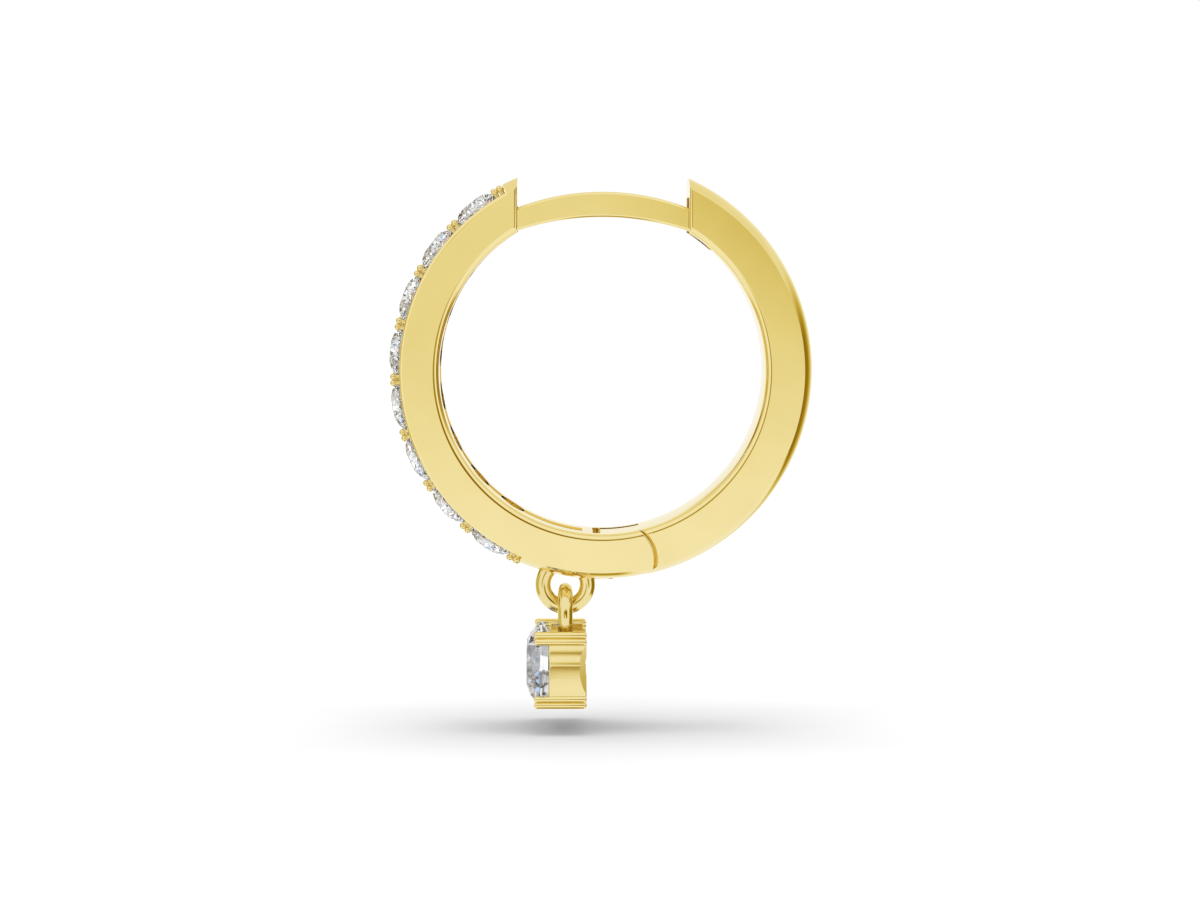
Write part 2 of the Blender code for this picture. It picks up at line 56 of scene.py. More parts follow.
def makeCamera(place):
    lens = bpy.data.cameras.new("productCamera")
    lens.sensor_width = place["sensor"]
    lens.lens = place["focalPixels"] / place["imageWidth"] * lens.sensor_width
    lens.shift_x, lens.shift_y = place["shift"]
    lens.clip_start, lens.clip_end = place["clip"]
    item = bpy.data.objects.new("productCamera", lens)
    bpy.context.scene.collection.objects.link(item)
    item.location = Vector(place["at"]) * mm
    item.rotation_euler = place["turn"]
    bpy.context.scene.camera = item


makeCamera(cameraPlace)
print("camera placed")


# helpers that draw, cut and dress the meshes
def arcPoints(centre, radius, start, end, steps):
    points = []
    for step in range(steps + 1):
        angle = math.radians(start + (end - start) * step / steps)
        points.append((centre[0] + radius * math.cos(angle), centre[1] + radius * math.sin(angle)))
    return points


def newMesh(name, bm):
    # bm is drawn in mm; the mesh is in metres with its faces pointing out
    bmesh.ops.scale(bm, vec=(mm, mm, mm), verts=bm.verts)
    bmesh.ops.recalc_face_normals(bm, faces=bm.faces)
    mesh = bpy.data.meshes.new(name)
    bm.to_mesh(mesh)
    bm.free()
    item = bpy.data.objects.new(name, mesh)
    bpy.context.scene.collection.objects.link(item)
    return item


def loftRows(name, rows):
    # rows of 3D points in mm, joined one to the next and closed at both ends
    bm = bmesh.new()
    grid = [[bm.verts.new(point) for point in row] for row in rows]
    for low, high in zip(grid, grid[1:]):
        for step in range(len(low)):
            after = (step + 1) % len(low)
            bm.faces.new((low[step], low[after], high[after], high[step]))
    bm.faces.new(grid[0])
    bm.faces.new(list(reversed(grid[-1])))
    return newMesh(name, bm)


def sweepBand(name, section, start, end, stepAngle=1.5):
    # section holds (radius, y), swept round the hoop's axis
    steps = max(2, round((end - start) / stepAngle))
    rows = []
    for step in range(steps + 1):
        angle = math.radians(start + (end - start) * step / steps)
        rows.append([(r * math.cos(angle), y, r * math.sin(angle) + ringHeight) for r, y in section])
    return loftRows(name, rows)


def turnProfile(name, profile, place, axis, sides):
    # profile holds (radius, height) along the axis; the first and last point may lie on it
    bm = bmesh.new()
    turn = Vector(axis).to_track_quat("Z", "Y").to_matrix()
    ringsOfVerts = []
    for radius, height in profile:
        if radius < 1e-6:
            ringsOfVerts.append([bm.verts.new(Vector(place) + turn @ Vector((0, 0, height)))])
            continue
        ring = []
        for side in range(sides):
            angle = 2 * math.pi * side / sides
            spot = Vector((radius * math.cos(angle), radius * math.sin(angle), height))
            ring.append(bm.verts.new(Vector(place) + turn @ spot))
        ringsOfVerts.append(ring)
    pairs = list(zip(ringsOfVerts, ringsOfVerts[1:]))
    if len(ringsOfVerts[0]) > 1:
        pairs.append((ringsOfVerts[-1], ringsOfVerts[0]))
    for low, high in pairs:
        for side in range(sides):
            after = (side + 1) % sides
            if len(low) == 1:
                bm.faces.new((low[0], high[after], high[side]))
            elif len(high) == 1:
                bm.faces.new((low[side], low[after], high[0]))
            else:
                bm.faces.new((low[side], low[after], high[after], high[side]))
    return newMesh(name, bm)


def slab(name, outline, along, start, end):
    # a flat outline pulled along Y (points are x, z from the hoop's centre) or X (y, z from the drop's axis)
    rows = []
    for depth in (start, end):
        if along == "Y":
            rows.append([(across, depth, up + ringHeight) for across, up in outline])
        else:
            rows.append([(depth, across, up + dropHeight) for across, up in outline])
    return loftRows(name, rows)


def bake(item):
    # puts the modifiers' result into the mesh
    graph = bpy.context.evaluated_depsgraph_get()
    mesh = bpy.data.meshes.new_from_object(item.evaluated_get(graph))
    item.modifiers.clear()
    old = item.data
    item.data = mesh
    mesh.name = item.name
    bpy.data.meshes.remove(old)
    return item


def carve(item, tools, operation="DIFFERENCE"):
    for tool in tools:
        modifier = item.modifiers.new(tool.name, "BOOLEAN")
        modifier.operation = operation
        modifier.solver = "EXACT"
        modifier.object = tool
    bake(item)
    for tool in tools:
        bpy.data.objects.remove(tool, do_unlink=True)
    return item


def softenEdges(item, width, segments, limit=50):
    modifier = item.modifiers.new("softEdges", "BEVEL")
    modifier.width = width * mm
    modifier.segments = segments
    modifier.limit_method = "ANGLE"
    modifier.angle_limit = math.radians(limit)
    return bake(item)


def fuse(name, items):
    # joins meshes into one object
    bm = bmesh.new()
    for item in items:
        bm.from_mesh(item.data)
        bpy.data.objects.remove(item, do_unlink=True)
    mesh = bpy.data.meshes.new(name)
    bm.to_mesh(mesh)
    bm.free()
    joined = bpy.data.objects.new(name, mesh)
    bpy.context.scene.collection.objects.link(joined)
    return joined


flatNormal = 0.999995      # a face whose normal has a part above this is square to that axis


def keepFlats(item):
    # an edge between a face square to an axis and any other face stays sharp, so no fillet shades the flat one
    bm = bmesh.new()
    bm.from_mesh(item.data)
    for edge in bm.edges:
        square = [max(abs(part) for part in face.normal) > flatNormal for face in edge.link_faces]
        if len(set(square)) > 1:
            edge.smooth = False
    bm.to_mesh(item.data)
    bm.free()


def dress(item, material, body, nodes=(), sharp=28):
    item.data.materials.clear()
    item.data.materials.append(material)
    item.data.shade_smooth()
    item.data.set_sharp_from_angle(angle=math.radians(sharp))
    keepFlats(item)
    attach(item, body)
    if nodes:
        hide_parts(*nodes)


goldLook = {
    "light": (0.915, 0.785, 0.395, 1),
    "deep": (0.885, 0.750, 0.360, 1),
    "seenThroughStone": (0.80, 0.81, 0.84, 1),    # painted reflection: the gold turns silver-white where it is seen through a stone, which keeps the stones white inside their gold seats
    "floorShadowDark": (0.10, 0.10, 0.11, 1),          # painted shade: the gold is near black to light bounced from the floor, which makes its shadow there deep and neutral grey
    "deepBounce": (0.97, 0.94, 0.84, 1),          # painted light: the gold turns pale after a few mirrored bounces, which keeps the narrow slots from turning red
    "gloss": (0.035, 0.075),      # roughness between these
    "grain": 700,                 # noise per metre
    "toneEnds": (0.3, 0.7),       # where in the noise the deep tone ends and the light one begins
    "polishing": (9000, 2500, 9000),      # fine lines round the hoop
    "scratch": 0.004,
    "scratchDepth": 0.00005,      # metres
}
stoneLook = {"ior": 1.9, "tint": (1, 1, 1, 1)}
dropStoneLook = {"ior": 1.9, "tint": (0.72, 0.73, 0.76, 1)}     # painted shade: a greyer tint than the other stones, as this one is seen on edge


def joined(tree, kind, inputs, **settings):
    # a node with its settings, whose inputs are sockets or plain values
    node = tree.nodes.new(kind)
    for key, value in settings.items():
        setattr(node, key, value)
    for key, value in inputs.items():
        if isinstance(value, bpy.types.NodeSocket):
            tree.links.new(value, node.inputs[key])
        else:
            node.inputs[key].default_value = value
    return node


def sums(tree, operation, first, second=0.0):
    return joined(tree, "ShaderNodeMath", {0: first, 1: second}, operation=operation).outputs[0]


def mixed(tree, share, first, second, blend="MIX"):
    node = joined(tree, "ShaderNodeMixRGB", {"Fac": share, "Color1": first, "Color2": second}, blend_type=blend)
    return node.outputs["Color"]


# the shade factor scales the gold's colours down into darker copies of one gold: painted shade
def goldMaterial(name, look, paintedShade=1.0, rougher=0.0, paleAfter=99.0):
    material = bpy.data.materials.new(name)
    material.use_nodes = True
    tree = material.node_tree
    shader = tree.nodes["Principled BSDF"]
    shader.inputs["Metallic"].default_value = 1
    spot = tree.nodes.new("ShaderNodeTexCoord").outputs["Object"]
    clouds = joined(tree, "ShaderNodeTexNoise", {"Vector": spot, "Scale": look["grain"], "Detail": 4.0})
    tone = joined(tree, "ShaderNodeValToRGB", {"Fac": clouds.outputs["Fac"]})
    tones = zip(tone.color_ramp.elements, look["toneEnds"], (look["deep"], look["light"]))
    for element, place, colour in tones:
        element.position = place
        element.color = tuple(part * paintedShade for part in colour[:3]) + (1,)
    path = tree.nodes.new("ShaderNodeLightPath")
    throughStone = sums(tree, "MINIMUM", path.outputs["Transmission Depth"], 1.0)
    late = sums(tree, "GREATER_THAN", path.outputs["Glossy Depth"], paleAfter)
    colour = tone.outputs["Color"]
    # the colour changes with the ray: silver-white seen through a stone (painted reflection), near black to the
    # floor's bounced light (painted shade), pale after deep bounces (painted light)
    for share, seen in ((throughStone, "seenThroughStone"), (path.outputs["Is Diffuse Ray"], "floorShadowDark"),
                        (late, "deepBounce")):
        colour = mixed(tree, share, colour, look[seen])
    tree.links.new(colour, shader.inputs["Base Color"])
    polish = joined(tree, "ShaderNodeMapRange", {"Value": clouds.outputs["Fac"],
                    "To Min": look["gloss"][0] + rougher, "To Max": look["gloss"][1] + rougher})
    tree.links.new(polish.outputs["Result"], shader.inputs["Roughness"])
    stretch = joined(tree, "ShaderNodeMapping", {"Vector": spot, "Scale": look["polishing"]})
    lines = joined(tree, "ShaderNodeTexNoise", {"Vector": stretch.outputs["Vector"], "Scale": 1.0,
                   "Detail": 3.0})
    bump = joined(tree, "ShaderNodeBump", {"Height": lines.outputs["Fac"], "Strength": look["scratch"],
                  "Distance": look["scratchDepth"]})
    tree.links.new(bump.outputs["Normal"], shader.inputs["Normal"])
    return material


def stoneMaterial(name, look):
    material = bpy.data.materials.new(name)
    material.use_nodes = True
    shader = material.node_tree.nodes["Principled BSDF"]
    shader.inputs["Base Color"].default_value = look["tint"]
    shader.inputs["Roughness"].default_value = 0
    shader.inputs["IOR"].default_value = look["ior"]
    shader.inputs["Transmission Weight"].default_value = 1
    return material


gold = goldMaterial("polishedGold", goldLook, paleAfter=2.5)
# darker copies of the polished gold for the beads, the bail and link, and the drop's body: painted shade
beadGold = goldMaterial("beadGold", goldLook, paintedShade=0.93)
ringGold = goldMaterial("ringGold", goldLook, paintedShade=0.94)
castGold = goldMaterial("castGold", goldLook, paintedShade=0.98, rougher=0.16)     # the drop's cast body is softer
diamond = stoneMaterial("clearStone", stoneLook)
dropDiamond = stoneMaterial("dropStoneClear", dropStoneLook)
print("materials ready")

# sizes below are in mm and degrees; angles round the hoop start at its back and pass its top at 90
band = {
    "width": 1.90, "inner": 5.17, "faceInner": 5.36, "faceOuter": 6.40, "crown": 6.72,
    "edge": 0.014,              # tiny round where the dome meets the face
    "flatRim": 0.01,            # a strip beside each fillet, which keeps the flat face's shading flat
    "deck": 6.42, "deckEdge": 0.10, "deckPast": 2,
    "frontEnd": -2.69, "backEnd": 2.74, "endEdge": 0.09,
    "frontSweep": (110, 292), "backSweep": (-92, 73),
}
stones = {"count": 8, "first": 120.2, "pitch": 15.525, "diameter": 1.60, "girdle": 6.50, "hole": 0.45}
beads = {"radius": 0.11, "top": 6.735, "root": 6.25, "split": 0.10, "side": 0.55, "last": 0.14,
         "neckShare": 0.60, "ballFrom": -50}
hinge = {
    "x": 0.553, "below": 5.945, "seam": 1.14, "gap": 0.05, "tongue": 0.65, "half": 0.50,
    "corner": 0.12, "cornerFrom": 120, "root": 1.42, "neck": -0.35, "slot": 0.78, "slotEnd": 251,
    "hole": 0.29, "holeHalf": 0.82,
    "slotTop": 1.2, "slotLow": -1.4, "slotFar": 2,
    "seamGap": 0.04, "seamEdge": 0.04, "seamFill": 0.006, "seamDepth": 0.085,   # a shallow groove at each face
    "seamLip": 0.01, "seamTop": -4, "tongueRise": 0.02,
}
notch = {"half": 0.53, "radius": 6.15, "start": 48, "end": 76, "flare": 0.14, "flareDepth": 0.12,
         "mouthLap": 0.02, "mouthLow": 3}
groove = {"half": 0.28, "radius": 5.25, "start": 121.5, "end": 263}
cut = {"gap": 0.03, "postGap": 0.04, "girdle": 0.03, "pavilion": 0.41,
       "past": 0.3, "reach": 9, "faces": 1, "inside": 0.5, "socket": 1.5,    # how far cutters reach past the metal
       "seatTop": 0.1, "seatLow": 0.4, "boreTop": 1.0}
sidesOf = {"pinHole": 32, "seat": 48, "bead": 20, "ring": 96, "bore": 72, "bar": 24, "cone": 180, "rod": 24}


def plainSection():
    half = band["width"] / 2
    rise = band["crown"] - band["faceOuter"]
    dome = (half * half + rise * rise) / (2 * rise)
    spread = math.degrees(math.asin(half / dome))
    fillet = band["faceInner"] - band["inner"]
    side = arcPoints((band["faceInner"], half - fillet), fillet, 180, 90, 8)
    side.append((band["faceInner"] + band["flatRim"], half))
    edge = band["edge"]
    shoulderAt = band["faceOuter"] - edge * 1.1
    shoulder = [(shoulderAt - band["flatRim"], half)]
    shoulder += arcPoints((shoulderAt, half - edge), edge, 90, spread + 4, 4)
    top = arcPoints((band["crown"] - dome, 0), dome, spread - 1, 0, 12)
    upper = side + shoulder + top
    lower = [(r, -y) for r, y in reversed(upper[:-1])]
    return upper + lower


def deckTool():
    half = band["width"] / 2
    edge = band["deckEdge"]
    far = band["crown"] + 2 * cut["past"]
    wide = half + cut["past"]
    curve = arcPoints((band["deck"] - edge, half - edge), edge, 0, 90, 5)
    upper = curve + [(band["deck"] - edge, wide), (far, wide)]
    section = [(far, -wide)] + [(r, -y) for r, y in reversed(upper[:-1])] + upper
    end = stones["first"] + stones["pitch"] * stones["count"] + band["deckPast"]
    return sweepBand("deckTool", section, stones["first"] - band["deckPast"], end)


def hingeFrame(points):
    lean = math.atan2(hinge["x"], hinge["below"])
    placed = []
    for along, inward in points:
        across = hinge["x"] + along * math.cos(lean) - inward * math.sin(lean)
        up = -hinge["below"] + along * math.sin(lean) + inward * math.cos(lean)
        placed.append((across, up))
    return placed


def squareGroove(name, half, radius, start, end):
    low = band["inner"] - cut["inside"]
    return sweepBand(name, [(low, -half), (low, half), (radius, half), (radius, -half)], start, end)


def seatProfile(diameter, hole, top, bottom):
    radius = diameter / 2
    halfGirdle = cut["girdle"] * diameter / 2 + cut["gap"]
    slope = radius / (cut["pavilion"] * diameter)
    widest = radius + cut["gap"]
    meets = -halfGirdle - (widest - hole) / slope
    return [(0, top), (widest, top), (widest, -halfGirdle), (hole, meets), (hole, bottom), (0, bottom)]


def outward(degrees):
    angle = math.radians(degrees)
    return Vector((math.cos(angle), 0, math.sin(angle)))


def ringSpot(degrees, radius, y=0.0):
    return Vector((0, y, ringHeight)) + outward(degrees) * radius


def pinHole(name):
    reach = hinge["holeHalf"]
    profile = [(0, -reach), (hinge["hole"], -reach), (hinge["hole"], reach), (0, reach)]
    place = (hinge["x"], 0, ringHeight - hinge["below"])
    return turnProfile(name, profile, place, (0, 1, 0), sidesOf["pinHole"])


def edgeTool(name, outlineFor, edge, middle=0.0):
    # pulls an outline through the band and widens it at both faces, which leaves a rounded edge
    half = band["width"] / 2
    rounding = [(half - edge + edge * math.sin(math.radians(a)), edge * (1 - math.cos(math.radians(a))))
                for a in range(0, 91, 18)]
    low = half - edge - hinge["seamDepth"]
    lip = hinge["seamLip"]
    slope = [(half - edge - lip, -lip)] if middle else []         # closes the seam in a narrow V
    side = [(low, -middle)] + slope + rounding + [(half + cut["faces"], edge)]
    rows = []
    for y, grow in [(-y, grow) for y, grow in reversed(side)] + side:
        rows.append([(x, y, z + ringHeight) for x, z in outlineFor(grow)])
    return loftRows(name, rows)


def noseOutline(grow):
    nose = hingeFrame(arcPoints((0, 0), hinge["seam"] - hinge["seamGap"] - grow, -90, 90, 48))
    reach = cut["reach"]
    return nose + [(reach, hinge["seamTop"]), (reach, -reach), (nose[0][0], -reach)]


def hollowOutline(grow):
    hollow = hingeFrame(arcPoints((0, 0), hinge["seam"] + hinge["seamGap"] + grow, 90, -90, 48))
    reach = cut["reach"]
    return hollow + [(hollow[-1][0], -reach), (-reach, -reach), (-reach, hinge["seamTop"])]


def frontEndOutline(grow):
    left = band["frontEnd"] - grow
    reach = cut["reach"]
    return [(left, 0), (left, reach), (reach, reach), (reach, 0)]


def backEndOutline(grow):
    right = band["backEnd"] + grow
    reach = cut["reach"]
    return [(-reach, 0), (-reach, reach), (right, reach), (right, 0)]


def makeFront():
    front = sweepBand("frontHalf", plainSection(), *band["frontSweep"])
    top, low, far = hinge["slotTop"], hinge["slotLow"], hinge["slotFar"]
    slotOutline = [(-hinge["slot"], top)] + arcPoints((0, 0), hinge["slot"], 180, hinge["slotEnd"], 14)
    slotOutline += [(slotOutline[-1][0], low), (far, low), (far, top)]
    slotHalf = hinge["half"] + hinge["gap"]
    slotTool = slab("slotTool", hingeFrame(slotOutline), "Y", -slotHalf, slotHalf)
    gap = cut["postGap"]
    left, right, low = post["left"] - gap, post["socketEnd"], post["bottom"] - cut["socket"]
    socketOutline = postArc(post["top"] + gap, post["topArc"] + gap, left, right, 10)
    socketOutline += [(right, low), (left, low)]
    socketHalf = post["half"] + gap
    socketTool = slab("socketTool", socketOutline, "Y", -socketHalf, socketHalf)
    grooveTool = squareGroove("grooveTool", groove["half"], groove["radius"], groove["start"], groove["end"])
    tools = [deckTool(), grooveTool, edgeTool("noseTool", noseOutline, hinge["seamEdge"]),
             edgeTool("frontEndTool", frontEndOutline, band["endEdge"])]
    bottom = band["inner"] - stones["girdle"] - cut["seatLow"]
    profile = seatProfile(stones["diameter"], stones["hole"], cut["seatTop"], bottom)
    for index in range(stones["count"]):
        degrees = stones["first"] + stones["pitch"] * (index + 0.5)
        place = ringSpot(degrees, stones["girdle"])
        tools.append(turnProfile("seatTool%d" % index, profile, place, outward(degrees), sidesOf["seat"]))
    tools += [slotTool, pinHole("frontPinTool"), socketTool]
    return carve(front, tools)


def makeBeads():
    items = []
    for junction in range(stones["count"] + 1):
        degrees = stones["first"] + stones["pitch"] * junction
        up = outward(degrees)
        tangent = Vector((-up.z, 0, up.x))
        for along in (-beads["split"], beads["split"]):
            radius = beads["radius"]
            if junction == stones["count"] and along > 0:
                radius = beads["last"]
                along += radius - beads["radius"]
            for side in (-beads["side"], beads["side"]):
                foot = ringSpot(degrees, 0, side) + tangent * along
                neck = radius * beads["neckShare"]
                profile = [(0, beads["root"]), (neck, beads["root"])]
                ball = arcPoints((0, beads["top"] - radius), radius, beads["ballFrom"], 90, 14)
                profile += ball[:-1] + [(0, beads["top"])]
                items.append(turnProfile("bead", profile, foot, up, sidesOf["bead"]))
    return fuse("settingBeads", items)


def makeBack():
    back = sweepBand("backHalf", plainSection(), *band["backSweep"])
    fill = 2 * hinge["seamGap"] - hinge["seamFill"]
    notchTool = squareGroove("notchTool", notch["half"], notch["radius"], notch["start"], notch["end"])
    mouth = []
    low = ringHeight + notch["mouthLow"]
    near, far = band["backEnd"] - notch["mouthLap"], band["backEnd"] + notch["flareDepth"]
    for across, wider in ((near, notch["flare"]), (far, 0)):
        side = notch["half"] + wider
        up = math.sqrt(notch["radius"] ** 2 - across ** 2) + ringHeight
        mouth.append([(across, -side, low), (across, side, low), (across, side, up), (across, -side, up)])
    carve(back, [edgeTool("hollowTool", hollowOutline, hinge["seamEdge"], fill),
                 edgeTool("backEndTool", backEndOutline, band["endEdge"]),
                 notchTool, loftRows("mouthTool", mouth)])

    middle = math.degrees(math.atan2(-hinge["below"], hinge["x"]))
    topRadius = band["inner"] + hinge["tongueRise"]
    rootLean = math.degrees(math.asin(hinge["root"] / topRadius))
    tipLean = math.degrees(math.asin((hinge["tongue"] - hinge["corner"]) / topRadius))
    tongue = arcPoints((0, 0), topRadius, middle + rootLean, middle - tipLean, 16)
    inward = math.hypot(hinge["x"], hinge["below"]) - topRadius
    corner = (hinge["corner"] - hinge["tongue"], inward - hinge["corner"])
    rest = arcPoints(corner, hinge["corner"], hinge["cornerFrom"], 180, 4)
    neckAngle = math.degrees(math.asin(hinge["neck"] / hinge["tongue"]))
    rest += arcPoints((0, 0), hinge["tongue"], 180, 360 + neckAngle, 30) + [(hinge["root"], hinge["neck"])]
    knuckle = slab("knuckleTool", tongue + hingeFrame(rest), "Y", -hinge["half"], hinge["half"])
    carve(back, [knuckle], "UNION")
    return carve(back, [pinHole("backPinTool")])


post = {"top": 5.69, "bottom": 4.89, "topArc": 7.48, "bottomArc": 8.57, "left": -3.10, "right": 3.55,
        "half": 0.45, "edge": 0.09, "socketEnd": -1.69}


def postArc(top, radius, left, right, steps):
    points = []
    for step in range(steps + 1):
        across = left + (right - left) * step / steps
        points.append((across, top - radius + math.sqrt(radius * radius - across * across)))
    return points


def makePost():
    outline = postArc(post["top"], post["topArc"], post["left"], post["right"], 60)
    outline += reversed(postArc(post["bottom"], post["bottomArc"], post["left"], post["right"], 60))
    return softenEdges(slab("earPost", outline, "Y", -post["half"], post["half"]), post["edge"], 4)


bail = {"x": -1.18, "below": 6.908, "outer": 0.962, "inner": 0.465}
linkRing = {"wire": 0.48, "inner": 0.48}


def wireRound(middle, radius):
    return arcPoints((middle, 0), radius, 0, -345, 23)      # 24 points, the last one joined to the first


def makeBail():
    profile = wireRound((bail["outer"] + bail["inner"]) / 2, (bail["outer"] - bail["inner"]) / 2)
    place = (bail["x"], 0, ringHeight - bail["below"])
    return turnProfile("bailRing", profile, place, (0, 1, 0), sidesOf["ring"])


def makeLink():
    profile = wireRound(linkRing["inner"] + linkRing["wire"] / 2, linkRing["wire"] / 2)
    return turnProfile("linkRing", profile, (bail["x"], 0, linkHeight), (1, 0, 0), sidesOf["ring"])


basket = {
    "front": -1.712, "back": -0.504, "lobe": 0.594, "lobeRadius": 0.84, "bore": 0.70,
    "frontEdge": 0.06, "girdle": -1.955, "stone": 2.72,
    "windowFront": -1.63, "windowBack": -0.63, "windowGap": 0.06,
    "lugHalf": 0.14, "lugRoot": 1.00, "bar": 0.085,
    "bevelCentre": 1.50, "bevelUp": 0.06, "bevelRadius": 1.72, "bevelReach": 1.20, "bevelSlope": 0.35,
    "bevelHalf": 0.6,
    "creaseHalf": 0.026, "creaseDepth": 0.12, "creaseUp": 0.13, "creaseStart": 0.10, "creaseFar": 1.4,
    "lowFlat": 0.45, "flatReach": 0.8, "sideFrom": 0.9, "lowBulge": 0.045,
}
prong = {"front": -2.165, "back": -0.505, "radius": 0.115, "side": 1.08, "height": 1.02, "split": 0.105,
         "lean": 15, "tipRound": 0.65, "heelRound": 0.7}


def lobedOutline(grow=0.0):
    offset = basket["lobe"] / math.sqrt(2)
    radius = basket["lobeRadius"] + grow
    meets = math.degrees(math.asin(offset / radius))
    outline = []
    for quarter in range(4):
        turn = 90 * quarter
        middle = math.radians(45 + turn)
        centre = (basket["lobe"] * math.cos(middle), basket["lobe"] * math.sin(middle))
        outline += arcPoints(centre, radius, turn - meets, turn + 90 + meets, 26)[:-1]
    # the sides' creases sit above the middle, and the lobes under them are flatter
    crease = offset + math.sqrt(radius * radius - offset * offset)
    shaped = []
    for across, up in outline:
        share = 1 - abs(up) / basket["flatReach"]
        if share > 0 and abs(across) > basket["sideFrom"]:
            if up < 0:
                line = crease + basket["lowBulge"] * share
                across = math.copysign(line + (abs(across) - line) * basket["lowFlat"], across)
            up += basket["creaseUp"] * share
        shaped.append((across, up))
    return shaped


def boreTool():
    bottom = basket["girdle"] - basket["back"] - cut["past"]
    profile = seatProfile(basket["stone"], basket["bore"], cut["boreTop"], bottom)
    return turnProfile("boreTool", profile, (basket["girdle"], 0, dropHeight), (-1, 0, 0), sidesOf["bore"])


def makeBasketBody():
    body = softenEdges(slab("dropBasket", lobedOutline(), "X", basket["front"], basket["back"]),
                       basket["frontEdge"], 8, 60)
    barHeight = linkHeight - linkRing["inner"] + cut["gap"] + basket["bar"]
    lugTop = barHeight + basket["bar"] - dropHeight
    half = basket["lugHalf"]
    lugOutline = [(-half, basket["lugRoot"]), (half, basket["lugRoot"])]
    lugOutline += arcPoints((0, lugTop - half), half, 0, 180, 12)
    lug = slab("lugTool", lugOutline, "X", basket["front"], basket["back"])
    carve(body, [lug], "UNION")
    reach = linkRing["inner"] + linkRing["wire"] + basket["windowGap"]
    window = [(0, basket["windowFront"]), (reach, basket["windowFront"]), (reach, basket["windowBack"]),
              (0, basket["windowBack"])]
    windowTool = turnProfile("windowTool", window, (0, 0, linkHeight), (1, 0, 0), sidesOf["bore"])
    carve(body, [windowTool])
    low = (basket["front"] + basket["windowFront"]) / 2
    high = (basket["back"] + basket["windowBack"]) / 2
    barProfile = [(0, low), (basket["bar"], low), (basket["bar"], high), (0, high)]
    bar = turnProfile("barTool", barProfile, (0, 0, barHeight), (1, 0, 0), sidesOf["bar"])
    carve(body, [bar], "UNION")
    radius, slope = basket["bevelRadius"], basket["bevelSlope"]     # a wide cone scoops the back of each side
    deep = basket["bevelHalf"]
    cone = [(0, -deep), (radius - deep * slope, -deep), (radius + deep * slope, deep), (0, deep)]
    tools = [boreTool()]
    offset = basket["lobe"] / math.sqrt(2)
    crease = offset + math.sqrt(basket["lobeRadius"] ** 2 - offset ** 2) - basket["creaseDepth"]
    half = basket["creaseHalf"]
    for across in (-1, 1):
        near, far, up = across * crease, across * basket["creaseFar"], basket["creaseUp"]
        line = [(near, up - half), (far, up - half), (far, up + half), (near, up + half)]
        tools.append(slab("creaseTool", line, "X", basket["front"] + basket["creaseStart"], 0))
        centre = (basket["back"] + basket["bevelCentre"], across * basket["bevelReach"],
                  dropHeight + basket["bevelUp"])
        tools.append(turnProfile("bevelTool", cone, centre, (0, across, 0), sidesOf["cone"]))
    return carve(body, tools)


def makeProngs():
    items = []
    lean = math.radians(prong["lean"])
    radius = prong["radius"]
    for side in (-1, 1):
        for level in (-1, 1):
            for split in (-1, 1):
                across = side * (prong["side"] - split * prong["split"] * math.sin(lean))
                up = dropHeight + level * (prong["height"] + split * prong["split"] * math.cos(lean))
                tipRound, heelRound = radius * prong["tipRound"], radius * prong["heelRound"]
                tip = arcPoints((radius - tipRound, prong["front"] + tipRound), tipRound, -90, 0, 6)
                heel = arcPoints((radius - heelRound, prong["back"] - heelRound), heelRound, 0, 90, 6)
                profile = [(0, prong["front"])] + tip + heel + [(0, prong["back"])]
                rodItem = turnProfile("prongRod", profile, (0, across, up), (1, 0, 0), sidesOf["rod"])
                items.append(carve(rodItem, [boreTool()]))
    return fuse("dropProngs", items)


dress(makeFront(), gold, "hoop_front", ["front_half"])
dress(makeBeads(), beadGold, "hoop_front", ["front_half"], 40)
dress(makeBack(), gold, "hoop_back", ["back_half"])
print("hoop modelled")
dress(makePost(), gold, "hoop_front", ["ear_post"])
dress(makeBail(), ringGold, "hoop_front", ["front_half"], 60)
dress(makeLink(), ringGold, "link_ring", ["link"], 60)
print("post, bail and link modelled")
dress(makeBasketBody(), castGold, "drop", ["drop_basket"], 13)
dress(makeProngs(), gold, "drop", ["drop_basket"], 40)
print("drop modelled")

for nodeName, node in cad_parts.items():
    if "stone" in nodeName or nodeName == "hinge_pin":
        node.data.materials.clear()
        clear = dropDiamond if nodeName == "drop_stone" else diamond
        node.data.materials.append(gold if nodeName == "hinge_pin" else clear)
        if "stone" in nodeName:
            node.data.shade_flat()
print("stones set")

stage = {"floor": -16.85, "size": 3.0, "white": 0.98, "rough": 0.9, "aroundWhite": 0.45,
         "warmer": (1.45, 4.2)}
softSuns = [{"tilt": -50, "width": 40, "strength": 0.45}, {"tilt": -25, "width": 40, "strength": 0.45},
            {"tilt": 0, "width": 26, "strength": 0.68}, {"tilt": 25, "width": 40, "strength": 0.45},
            {"tilt": 50, "width": 40, "strength": 0.45}]      # degrees
# dark parts of the studio that the polish mirrors: between which directions each fades in, and how dark it is;
# the frame goes round the softbox behind the camera
darkSpot = {"toward": (0.2382, -0.9556, 0.1736), "from": 0.9588, "full": 0.9945, "depth": 0.45}
darkFrame = {"outer": (0.42, 0.30), "right": (0.62, 0.42), "low": (-0.24, -0.15), "high": (0.34, 0.22),
             "inner": (0.19, 0.13), "top": (0.10, 0.04), "depth": 0.50}
below = {"height": (-0.70, -0.90), "across": (0.16, 0.08), "depth": 0.55}
eyeLevel = {"height": (-0.17, -0.05), "front": (-0.85, -0.95), "depth": 0.10}
darkBand = {"low": (-0.54, -0.42), "high": (0.42, 0.04), "front": (-0.50, -0.30), "back": (0.97, 0.50),
            "left": (0.3, -0.3), "leftShare": 0.45, "depth": 0.68}      # weaker on the stones' side
darkLeft = {"across": (-0.10, -0.30), "low": (0.08, 0.20), "high": (0.42, 0.30), "front": (0.10, 0.35),
            "depth": 0.65}
dimBack = {"height": (0.20, 0.50), "front": (-0.35, 0.15), "depth": 0.10}
